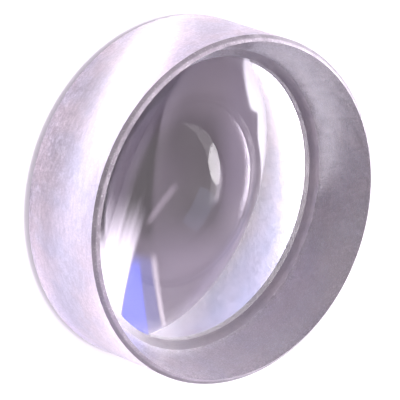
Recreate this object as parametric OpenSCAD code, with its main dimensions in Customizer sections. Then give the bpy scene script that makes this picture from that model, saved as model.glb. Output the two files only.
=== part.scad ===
// Biconcave lens, ground and polished from one round block of glass.
// It lies on the rim of its lower face. The optical axis is +Z and the
// origin is the centre of that rim. All sizes are millimetres.

/* [Glass block] */
// Outer diameter over the ground edge
lens_d = 50; // [26:0.5:60]
// Thickness of the glass on the optical axis, between the two faces
centre_thickness = 5.3; // [3:0.1:25]

/* [Hollow faces] */
// Radius of curvature of the upper polished face
upper_radius = 49.5; // [32:0.1:300]
// Radius of curvature of the lower polished face
lower_radius = 60.5; // [32:0.1:300]

/* [Bevels] */
// Leg of the 45 degree bevel around the upper face
upper_bevel = 0.85; // [0.3:0.05:1.4]
// Leg of the 45 degree bevel around the lower face
lower_bevel = 1.2; // [0.3:0.05:1.4]

/* [Hidden] */
$fn = 240;

lens_r = lens_d / 2;
upper_aperture_r = lens_r - upper_bevel;
lower_aperture_r = lens_r - lower_bevel;

// Depth of a spherical face behind its rim, for a rim of radius aperture_r
function sag(face_radius, aperture_r) =
    face_radius - sqrt(pow(face_radius, 2) - pow(aperture_r, 2));

// Heights of each face's lowest or highest point on the axis, and of the
// upper face's rim, which is the lens's highest circle
lower_vertex_z = sag(lower_radius, lower_aperture_r);
upper_vertex_z = lower_vertex_z + centre_thickness;
rim_z = upper_vertex_z + sag(upper_radius, upper_aperture_r);

// The bevels' cones run this far past each rim, and the spheres trim them
bevel_overrun = 0.6;

// Half section of the ground block, from the axis out and up its edge
function block_profile() = [
    [0, -bevel_overrun],
    [lower_aperture_r - bevel_overrun, -bevel_overrun],
    [lens_r, lower_bevel],
    [lens_r, rim_z - upper_bevel],
    [upper_aperture_r - bevel_overrun, rim_z + bevel_overrun],
    [0, rim_z + bevel_overrun]
];

// Round block with its cylindrical edge and both bevels
module ground_block() {
    rotate_extrude()
        polygon(block_profile());
}

// Sphere that hollows a face: its surface meets the axis at vertex_z, and
// side is 1 where its centre lies above that point and -1 where it lies below
module polishing_sphere(face_radius, vertex_z, side) {
    translate([0, 0, vertex_z + side * face_radius])
        sphere(r = face_radius);
}

// The finished lens, one solid
module lens() {
    color([0.78, 0.80, 0.86, 0.45])
        difference() {
            ground_block();
            polishing_sphere(upper_radius, upper_vertex_z, 1);
            polishing_sphere(lower_radius, lower_vertex_z, -1);
        }
}

lens();
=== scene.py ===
import math

import bpy
from mathutils import Matrix, Vector


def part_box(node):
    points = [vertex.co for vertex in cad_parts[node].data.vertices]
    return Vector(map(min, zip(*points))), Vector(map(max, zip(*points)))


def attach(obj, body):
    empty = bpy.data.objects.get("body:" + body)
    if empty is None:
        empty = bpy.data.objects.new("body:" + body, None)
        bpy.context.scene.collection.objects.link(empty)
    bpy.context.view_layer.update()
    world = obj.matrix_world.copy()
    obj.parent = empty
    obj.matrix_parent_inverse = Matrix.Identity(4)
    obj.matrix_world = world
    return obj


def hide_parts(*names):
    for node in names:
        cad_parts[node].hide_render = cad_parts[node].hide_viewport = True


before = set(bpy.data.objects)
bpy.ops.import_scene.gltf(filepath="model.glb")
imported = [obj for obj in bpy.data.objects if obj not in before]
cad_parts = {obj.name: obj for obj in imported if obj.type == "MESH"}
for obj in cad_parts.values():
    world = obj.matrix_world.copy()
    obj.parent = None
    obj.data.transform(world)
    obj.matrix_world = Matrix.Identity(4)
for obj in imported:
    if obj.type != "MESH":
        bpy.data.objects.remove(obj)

MM = 0.001
WELD = 0.002 * MM                 # points closer than this are one point
CROWN_INDEX = 1.517               # refraction of crown glass
CLEAR = (1, 1, 1, 1)

# The block that the lens is ground from
_, block_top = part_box("lens")
block_r = block_top.x
rim_z = block_top.z

# Hollow faces and the ground bevels round them
upper_radius = 49.5 * MM
lower_radius = 60.5 * MM
upper_bevel = 0.85 * MM
lower_bevel = 1.2 * MM

# Fineness of the turned surfaces
turns = 256                       # steps round the axis
upper_steps = 56                  # steps from the axis to the rim
lower_steps = 44
sharp_edge = math.radians(25)     # a fold sharper than this stays crisp

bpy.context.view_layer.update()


# ---------------------------------------------------------------- modelling helpers

def start_clean():
    """Leave edit mode and drop every selection."""
    if bpy.context.object and bpy.context.object.mode != "OBJECT":
        bpy.ops.object.mode_set(mode="OBJECT")
    bpy.ops.object.select_all(action="DESELECT")


def pick_point(obj, place):
    """Select the vertex of a mesh in edit mode that lies at a place."""
    bpy.ops.mesh.select_mode(type="VERT")
    bpy.ops.mesh.select_all(action="DESELECT")
    bpy.ops.object.mode_set(mode="OBJECT")
    for v in obj.data.vertices:
        v.select = (v.co - place).length < WELD
    bpy.ops.object.mode_set(mode="EDIT")


# ---------------------------------------------------------------- the lens

def draw_line(obj, path):
    """Extrude the drawn end of the profile straight from point to point."""
    for here, there in zip(path, path[1:]):
        pick_point(obj, here)
        bpy.ops.mesh.extrude_region_move(TRANSFORM_OT_translate={"value": there - here})


def draw_arc(centre, radius, aperture, steps):
    """Spin the drawn end of the profile along a hollow face, between its axis and its bevel."""
    bpy.ops.mesh.spin(steps=steps, angle=math.asin(aperture / radius),
                      center=centre, axis=(0, -1, 0))


def lens_piece():
    """The lens, turned like a lathe part: half its section is drawn, then spun round the axis."""
    upper_aperture = block_r - upper_bevel
    lower_aperture = block_r - lower_bevel
    upper_sag = upper_radius - math.sqrt(upper_radius ** 2 - upper_aperture ** 2)
    lower_sag = lower_radius - math.sqrt(lower_radius ** 2 - lower_aperture ** 2)
    lower_vertex = Vector((0, 0, lower_sag))
    upper_vertex = Vector((0, 0, rim_z - upper_sag))

    # the profile starts from a small plane, drawn in to one point on the axis
    start_clean()
    bpy.ops.mesh.primitive_plane_add(size=1 * MM, location=lower_vertex)
    lens = bpy.context.object
    lens.name = "lens_polished"
    bpy.ops.object.transform_apply(location=True, rotation=False, scale=False)
    bpy.ops.object.mode_set(mode="EDIT")
    bpy.ops.mesh.merge(type="CENTER")

    # lower hollow face, out from the axis
    draw_arc(lower_vertex - Vector((0, 0, lower_radius)), lower_radius, lower_aperture, lower_steps)
    # lower bevel, ground wall, upper bevel
    upper_edge = Vector((upper_aperture, 0, rim_z))
    draw_line(lens, [
        Vector((lower_aperture, 0, 0)),
        Vector((block_r, 0, lower_bevel)),
        Vector((block_r, 0, rim_z - upper_bevel)),
        upper_edge,
    ])
    # upper hollow face, back to the axis
    pick_point(lens, upper_edge)
    draw_arc(upper_vertex + Vector((0, 0, upper_radius)), upper_radius, upper_aperture, upper_steps)

    bpy.ops.mesh.select_all(action="SELECT")
    bpy.ops.mesh.spin(steps=turns, angle=2 * math.pi, center=(0, 0, 0), axis=(0, 0, 1))
    bpy.ops.mesh.select_all(action="SELECT")
    bpy.ops.mesh.remove_doubles(threshold=WELD)
    bpy.ops.mesh.normals_make_consistent(inside=False)
    bpy.ops.object.mode_set(mode="OBJECT")
    bpy.ops.object.shade_smooth_by_angle(angle=sharp_edge)
    return lens


# ---------------------------------------------------------------- material helpers

def new_material(name):
    mat = bpy.data.materials.new(name)
    mat.use_nodes = True
    mat.node_tree.nodes.clear()
    return mat, mat.node_tree


def feed(tree, socket, value):
    """Link a socket to another one, or set it to a plain value."""
    if isinstance(value, bpy.types.NodeSocket):
        tree.links.new(value, socket)
    else:
        socket.default_value = value


def work_out(tree, operation, a, b=0.0):
    node = tree.nodes.new("ShaderNodeMath")
    node.operation = operation
    feed(tree, node.inputs[0], a)
    feed(tree, node.inputs[1], b)
    return node.outputs[0]


def weigh(tree, a, a_weight, b, b_weight):
    """The sum of two values, each times its weight."""
    return work_out(tree, "ADD", work_out(tree, "MULTIPLY", a, a_weight),
                    work_out(tree, "MULTIPLY", b, b_weight))


def overlap(tree, *masks):
    """1 where all the masks are 1."""
    result = masks[0]
    for mask in masks[1:]:
        result = work_out(tree, "MULTIPLY", result, mask)
    return result


def soft_step(tree, value, start, end, low=0.0, high=1.0):
    """Go smoothly from low to high while value goes from start to end."""
    node = tree.nodes.new("ShaderNodeMapRange")
    node.interpolation_type = "SMOOTHSTEP"
    feed(tree, node.inputs["Value"], value)
    node.inputs["From Min"].default_value = start
    node.inputs["From Max"].default_value = end
    node.inputs["To Min"].default_value = low
    node.inputs["To Max"].default_value = high
    return node.outputs["Result"]


def tint(tree, share, under, over, blend="MIX"):
    """Lay one colour over another by a share."""
    node = tree.nodes.new("ShaderNodeMix")
    node.data_type = "RGBA"
    node.blend_type = blend
    feed(tree, node.inputs["Factor"], share)
    feed(tree, node.inputs["A"], under)
    feed(tree, node.inputs["B"], over)
    return node.outputs["Result"]


def place_in_mm(tree):
    """The place on the piece in millimetres: the whole vector, x, y, z, distance from the axis."""
    coords = tree.nodes.new("ShaderNodeTexCoord")
    scale = tree.nodes.new("ShaderNodeVectorMath")
    scale.operation = "SCALE"
    scale.inputs["Scale"].default_value = 1 / MM
    feed(tree, scale.inputs[0], coords.outputs["Object"])
    split = tree.nodes.new("ShaderNodeSeparateXYZ")
    feed(tree, split.inputs[0], scale.outputs[0])
    x, y, z = split.outputs
    reach = work_out(tree, "SQRT", weigh(tree, x, x, y, y))
    return scale.outputs[0], x, y, z, reach


def stretched(tree, place, factors):
    """A place scaled along each axis, so that a pattern on it is drawn out where a factor is small."""
    node = tree.nodes.new("ShaderNodeVectorMath")
    node.operation = "MULTIPLY"
    feed(tree, node.inputs[0], place)
    node.inputs[1].default_value = factors
    return node.outputs[0]


def grain(tree, place, size, detail=2.0, rough=0.6):
    """Noise from 0 to 1 whose blotches are about size millimetres across."""
    noise = tree.nodes.new("ShaderNodeTexNoise")
    feed(tree, noise.inputs["Vector"], place)
    noise.inputs["Scale"].default_value = 1.0 / size
    noise.inputs["Detail"].default_value = detail
    noise.inputs["Roughness"].default_value = rough
    return noise.outputs["Fac"]


def beyond(tree, x, y, azimuth, distance, softness):
    """1 past a straight line across the lens, which lies a distance from the axis at an azimuth."""
    az = math.radians(azimuth)
    along = weigh(tree, x, math.cos(az), y, math.sin(az))
    return soft_step(tree, along, distance - softness, distance + softness)


def crown_glass(tree):
    """The shader of the glass itself, which each finish roughens and colours."""
    glass = tree.nodes.new("ShaderNodeBsdfPrincipled")
    glass.inputs["IOR"].default_value = CROWN_INDEX
    return glass


def roughen(tree, glass, height, strength, depth):
    """Shade the surface as if a height pattern raised and sank it, by a depth in metres."""
    bump = tree.nodes.new("ShaderNodeBump")
    bump.inputs["Strength"].default_value = strength
    bump.inputs["Distance"].default_value = depth
    feed(tree, bump.inputs["Height"], height)
    feed(tree, glass.inputs["Normal"], bump.outputs["Normal"])


def finish_glass(tree, glass, through):
    """Wire up the glass. A lamp's light that passes straight through takes on the colour through."""
    clear = tree.nodes.new("ShaderNodeBsdfTransparent")
    feed(tree, clear.inputs["Color"], through)
    path = tree.nodes.new("ShaderNodeLightPath")
    pick = tree.nodes.new("ShaderNodeMixShader")
    feed(tree, pick.inputs["Fac"], path.outputs["Is Shadow Ray"])
    feed(tree, pick.inputs[1], glass.outputs["BSDF"])
    feed(tree, pick.inputs[2], clear.outputs["BSDF"])
    out = tree.nodes.new("ShaderNodeOutputMaterial")
    feed(tree, out.inputs["Surface"], pick.outputs["Shader"])


# ---------------------------------------------------------------- light under the lens

# A drawn pattern that stands in for the light and shade of a room, as the paper under the lens
# shows it. Its patches are laid one over another. A patch has a tone in red, green and blue, and
# lies past straight edges, each an azimuth from +x towards +y, a distance from the axis in mm and
# a softness in mm.

dim_middle = (0.105, 0.09, 0.095)

middle_patches = (
    # the middle pales to the west
    ((0.28, 0.24, 0.27), (180, 15, 6)),
    # it pales to the east too, and darkens to the south east
    ((0.34, 0.29, 0.35), (10, 6.5, 6)),
    ((0.15, 0.12, 0.15), (-90, 4, 8), (0, -5, 4)),
    # it pales again near the rim, to the south west, the north and the north east
    ((0.27, 0.235, 0.27), (-90, 11, 4), (180, 7, 4)),
    ((0.28, 0.24, 0.29), (120, 9.0, 3.5)),
    ((0.44, 0.38, 0.5), (60, 16.8, 2.2), (0, 1, 3)),
    # the deep wedge, and the half shade south of it
    ((0.015, 0.006, 0.012), (-64.3, 7.6, 0.35), (180, -8, 2.5)),
    ((0.11, 0.085, 0.12), (-90, 14.0, 1.2)),
    # the thin pale line out of the middle
    ((0.6, 0.52, 0.58), (-117, 2.9, 0.25), (63, -3.5, 0.25), (-27, 0.5, 0.5), (153, -8.5, 1.0)),
)

# white at the rim to the north west, with a notch where two edges meet
north_west_white = (1.7, 1.7, 1.7)
north_west_edge = (145, 18.5, 0.4)
notch_west_edge = (180, 17.7, 0.3)
notch_north_edge = (130.6, 18.6, 0.3)

# white at the rim to the south east, which is drawn out westwards in streaks
south_east_white = (2.2, 2.1, 2.2)
south_east_edge = (-90, 8.2, 0.4)
streaks_per_mm = 0.9
streak_length = 9.0               # in mm
streaks_start = 7.0               # mm east of the axis, where the streaks begin
streaks_end = 22.0                # and where the white is whole

corner_patches = (
    # the grey strip, the blue corner and the pale line beside it
    ((0.27, 0.26, 0.5), (90, -8.0, 0.4), (-60, 8.6, 0.5), (0, 12.0, 0.8)),
    ((0.32, 0.37, 1.35), (90, -8.0, 0.4), (-62, 11.4, 0.4), (0, 13.5, 1.5)),
    ((0.95, 0.86, 0.92), (121, -8.75, 0.2), (-59, 7.75, 0.2), (0, 11.5, 1.0)),
)

# the rim's own shade to the south, which stops short of the white
rim_shade = (0.02, 0.01, 0.02)
rim_shade_edges = ((-90, 16, 3.0), (180, -12, 3.0))
rim_shade_start = 20.3            # mm from the axis
rim_shade_end = 21.3


def all_light(tree, x, y, reach):
    """Clear all over: nothing is held back."""
    return CLEAR


def gathered_light(tree, x, y, reach):
    """The drawn pattern of the room's light: a dim middle, and bright patches at the rim."""
    def past(edge):
        return beyond(tree, x, y, *edge)

    def lay(under, tone, *masks):
        """Lay a tone over the light where all the masks meet."""
        return tint(tree, overlap(tree, *masks), under, tone + (1,))

    def lay_patches(light, patches):
        for tone, *edges in patches:
            light = lay(light, tone, *[past(edge) for edge in edges])
        return light

    light = lay_patches(dim_middle + (1,), middle_patches)

    notch = work_out(tree, "MAXIMUM", past(notch_west_edge), past(notch_north_edge))
    light = lay(light, north_west_white, past(north_west_edge), notch)

    streak = tree.nodes.new("ShaderNodeTexNoise")
    streak.noise_dimensions = "1D"
    feed(tree, streak.inputs["W"], y)
    streak.inputs["Scale"].default_value = streaks_per_mm
    streak.inputs["Detail"].default_value = 3.0
    ragged = weigh(tree, x, 1.0, streak.outputs["Fac"], streak_length)
    light = lay(light, south_east_white, past(south_east_edge),
                soft_step(tree, ragged, streaks_start, streaks_end))

    light = lay_patches(light, corner_patches)
    return lay(light, rim_shade, soft_step(tree, reach, rim_shade_start, rim_shade_end),
               *[past(edge) for edge in rim_shade_edges])


# ---------------------------------------------------------------- finishes of the glass

pit_grey = (0.35, 0.32, 0.38, 1)      # what a pit or a wheel mark darkens the ground glass by
# white of the painted glints where the upper bevel sparkles
glint_white = (1, 0.97, 1, 1)


def polished_glass(name, pattern):
    """Clear crown glass with a faintly smeared polish. pattern colours the light it lets through."""
    mat, tree = new_material(name)
    place, x, y, _, reach = place_in_mm(tree)
    glass = crown_glass(tree)
    glass.inputs["Base Color"].default_value = CLEAR
    glass.inputs["Transmission Weight"].default_value = 1.0
    smear = grain(tree, place, 7.0, detail=4.0, rough=0.55)
    feed(tree, glass.inputs["Roughness"], soft_step(tree, smear, 0.45, 0.75, low=0.0, high=0.05))
    ripple = grain(tree, place, 2.5, rough=0.5)
    roughen(tree, glass, ripple, strength=0.1, depth=0.01 * MM)
    finish_glass(tree, glass, pattern(tree, x, y, reach))
    return mat


def ground_glass(name, tones, clearness, roughness, through, shade, glint_share=0.0):
    """Glass left grey by loose abrasive: cool and warm clouds, wheel marks round the axis, specks.

    clearness is how clear it looks, and through is the colour of its shadow on the paper. Its shade
    lays painted light and shade over the colour, and its white flecks are painted glints.
    """
    mat, tree = new_material(name)
    place, _, _, z, reach = place_in_mm(tree)
    cloud = grain(tree, place, 6.0, detail=3.0)
    blotch = grain(tree, place, 1.5, detail=3.0, rough=0.65)
    marks = grain(tree, stretched(tree, place, (0.35, 0.35, 1.0)), 0.5)
    speck = grain(tree, place, 0.3)
    glint = grain(tree, place, 0.22, detail=1.0, rough=0.5)

    cool, warm = tones
    colour = tint(tree, soft_step(tree, cloud, 0.38, 0.62), cool, warm)
    for pits, strength in ((blotch, 0.26), (marks, 0.25), (speck, 0.45)):
        share = soft_step(tree, pits, 0.35, 0.65, high=strength)
        colour = tint(tree, share, colour, pit_grey, "MULTIPLY")
    # painted glints: white flecks where the bevel sparkles
    colour = tint(tree, soft_step(tree, glint, 0.62, 0.7, high=glint_share), colour, glint_white)
    # painted light and shade, by height or by distance from the axis
    colour = tint(tree, 1.0, colour, shade(tree, z, reach), "MULTIPLY")

    glass = crown_glass(tree)
    feed(tree, glass.inputs["Base Color"], colour)
    rubbed = weigh(tree, blotch, 0.35, speck, 0.65)
    feed(tree, glass.inputs["Transmission Weight"],
         soft_step(tree, rubbed, 0.36, 0.64, clearness - 0.2, clearness + 0.2))
    feed(tree, glass.inputs["Roughness"],
         soft_step(tree, speck, 0.2, 0.8, roughness - 0.06, roughness + 0.06))
    roughen(tree, glass, speck, strength=0.25, depth=0.05 * MM)
    finish_glass(tree, glass, through)
    return mat


def wall_painted_shade(tree, z, reach):
    """Painted light and shade on the wall: it is palest at its foot, dimmest a third of the way up,
    and pales towards its top.
    """
    foot = soft_step(tree, z, 1.2, 5.5, low=1.5, high=1.03)
    top = soft_step(tree, z, 3.0, 14.0, low=0.98, high=1.2)
    return work_out(tree, "MULTIPLY", foot, top)


def upper_bevel_painted_shade(tree, z, reach):
    """The bevel's outer half is greyer than its inner one: painted shade on the outer half and painted
    light on the inner one.
    """
    return soft_step(tree, reach, 24.45, 24.65, low=0.75, high=0.35)


def even_shade(tree, z, reach):
    """No painted shade by place: the bevel is the same all over."""
    return CLEAR


def lens_finish(centre, normal):
    """The finish of a face of the lens, from where it lies and which way it looks."""
    reach = math.hypot(centre.x, centre.y)
    upright = abs(normal.z) < 0.1
    if centre.z > rim_z / 2:
        hollow, bevel, inner = "upper_polish", "upper_bevel_ground", block_r - upper_bevel
    else:
        hollow, bevel, inner = "lower_polish", "lower_bevel_ground", block_r - lower_bevel
    if reach < inner:
        return hollow
    return "ground_wall" if upright else bevel


def assign(piece, finishes, finish_of):
    """Give a piece its materials, and each face the one that finish_of names."""
    order = [mat.name for mat in finishes]
    for mat in finishes:
        piece.data.materials.append(mat)
    for face in piece.data.polygons:
        face.material_index = order.index(finish_of(face.center, face.normal))


lens = lens_piece()
assign(lens, [
    polished_glass("upper_polish", all_light),
    polished_glass("lower_polish", gathered_light),
    # the wall's shade is painted light and shade by height
    ground_glass("ground_wall", tones=((0.52, 0.48, 0.58, 1), (0.61, 0.52, 0.585, 1)),
                 clearness=0.6, roughness=0.43, through=(0.72, 0.7, 0.74, 1), shade=wall_painted_shade),
    # the upper bevel's shade is painted light and shade, and its white flecks are painted glints
    ground_glass("upper_bevel_ground", tones=((0.7, 0.64, 0.7, 1), (0.8, 0.72, 0.8, 1)),
                 clearness=0.5, roughness=0.45, through=(0.45, 0.42, 0.48, 1),
                 shade=upper_bevel_painted_shade, glint_share=0.9),
    # the lower bevel's dark tones are painted shade, where it looks dark through the glass
    ground_glass("lower_bevel_ground", tones=((0.15, 0.13, 0.16, 1), (0.19, 0.16, 0.18, 1)),
                 clearness=0.6, roughness=0.4, through=(0.4, 0.38, 0.42, 1), shade=even_shade),
], lens_finish)
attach(lens, "root")
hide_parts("lens")


# ---------------------------------------------------------------- stage, light and camera

def floor_piece(half):
    """A plain sheet of white paper, half of whose side is given in metres."""
    start_clean()
    bpy.ops.mesh.primitive_plane_add(size=2 * half, location=(0, 0, 0))
    floor = bpy.context.object
    floor.name = "studio_floor"
    mat, tree = new_material("white_paper")
    paper = tree.nodes.new("ShaderNodeBsdfPrincipled")
    paper.inputs["Base Color"].default_value = (0.93, 0.93, 0.93, 1)
    paper.inputs["Roughness"].default_value = 0.9
    out = tree.nodes.new("ShaderNodeOutputMaterial")
    feed(tree, out.inputs["Surface"], paper.outputs["BSDF"])
    floor.data.materials.append(mat)


def soft_light(name, shape, azimuth, elevation, distance, size, power, colour):
    """A soft light that looks at the lens from a compass angle, a height and a distance."""
    az, el = math.radians(azimuth), math.radians(elevation)
    away = Vector((math.cos(az) * math.cos(el), math.sin(az) * math.cos(el), math.sin(el)))
    data = bpy.data.lights.new(name, "AREA")
    data.shape = shape
    data.size, data.size_y = size
    data.energy = power
    data.color = colour
    lamp = bpy.data.objects.new(name, data)
    bpy.context.scene.collection.objects.link(lamp)
    lamp.location = away * distance
    lamp.rotation_euler = away.to_track_quat("Z", "Y").to_euler()
    lamp.visible_camera = False
    lamp.visible_glossy = False
    return lamp


def studio_sky():
    """A pale room, bright to the south and high up in the north west, and dim to the north east."""
    world = bpy.data.worlds.new("studio")
    world.use_nodes = True
    tree = world.node_tree
    sky = tree.nodes["Background"]
    aim = tree.nodes.new("ShaderNodeTexCoord")
    split = tree.nodes.new("ShaderNodeSeparateXYZ")
    feed(tree, split.inputs[0], aim.outputs["Generated"])
    east, north, up = split.outputs
    compass = work_out(tree, "ARCTAN2", north, east)

    def turning(start, end):
        """Rise from 0 to 1 between two compass angles in degrees."""
        return soft_step(tree, compass, math.radians(start), math.radians(end))

    bright = overlap(tree, turning(86, 94), soft_step(tree, up, 0.2, 0.5),
                     soft_step(tree, up, 0.93, 0.85))
    dusk = overlap(tree, turning(5, 30), turning(88, 80), soft_step(tree, up, 0.95, 0.8))
    front = overlap(tree, turning(-170, -130), turning(-10, -50))
    colour = tint(tree, front, (0.86, 0.78, 0.87, 1), (1.1, 1.06, 1.06, 1))
    colour = tint(tree, dusk, colour, (0.48, 0.42, 0.5, 1))
    colour = tint(tree, bright, colour, (1.1, 1.03, 1.1, 1))
    feed(tree, sky.inputs["Color"], colour)
    sky.inputs["Strength"].default_value = 1.0
    bpy.context.scene.world = world


def studio_camera(place, aim, roll, focal):
    """A camera at a place that looks at an aim, rolled by an angle, with a focal length in mm."""
    data = bpy.data.cameras.new("camera")
    data.sensor_width = 36
    data.lens = focal
    data.clip_start = 0.01
    camera = bpy.data.objects.new("camera", data)
    bpy.context.scene.collection.objects.link(camera)
    camera.location = place
    facing = (place - aim).to_track_quat("Z", "Y").to_matrix()
    camera.rotation_euler = (facing @ Matrix.Rotation(roll, 3, "Z")).to_euler()
    bpy.context.scene.camera = camera


floor_piece(half=1.5)

# The key lights the paper, also through the lens, and isn't itself seen in the glass
key = soft_light("key", "RECTANGLE", azimuth=-150, elevation=80, distance=0.9, size=(0.3, 0.3),
                 power=7.8, colour=(1, 0.93, 1.07))
key.visible_transmission = False

# Panels of the room, which light the glass alone: name, shape, azimuth, elevation, distance in m,
# size in m, power in W, colour
lens_only = bpy.data.collections.new("lens_only")
lens_only.objects.link(lens)
for panel in (
    ("window", "ELLIPSE", 122, 23, 0.7, (0.42, 0.50), 5.6, (1, 0.96, 1)),
    ("low_window", "RECTANGLE", 115, 8, 0.7, (0.58, 0.34), 9.0, (1, 0.96, 1.02)),
    ("side_wall", "RECTANGLE", 137, 22, 1.2, (2.2, 0.95), 10.5, (1, 0.97, 1)),
    ("blue_wall", "RECTANGLE", 80, 30, 1.2, (0.6, 1.0), 2.4, (0.52, 0.64, 1)),
    ("fill", "RECTANGLE", -90, 12, 1.1, (1.4, 0.7), 1.2, (1, 0.97, 0.66)),
):
    soft_light(*panel).light_linking.receiver_collection = lens_only

studio_sky()

scene = bpy.context.scene
scene.view_settings.view_transform = "Standard"
scene.cycles.caustics_refractive = False
scene.cycles.caustics_reflective = False
# enough bounces for light that goes to and fro in the glass
scene.cycles.max_bounces = 16
scene.cycles.transmission_bounces = 16
scene.cycles.glossy_bounces = 16

studio_camera(place=Vector((0, -354.51, 410.66)) * MM, aim=Vector((0.31, -3.81, 12.20)) * MM,
              roll=math.radians(110.23), focal=343.25)
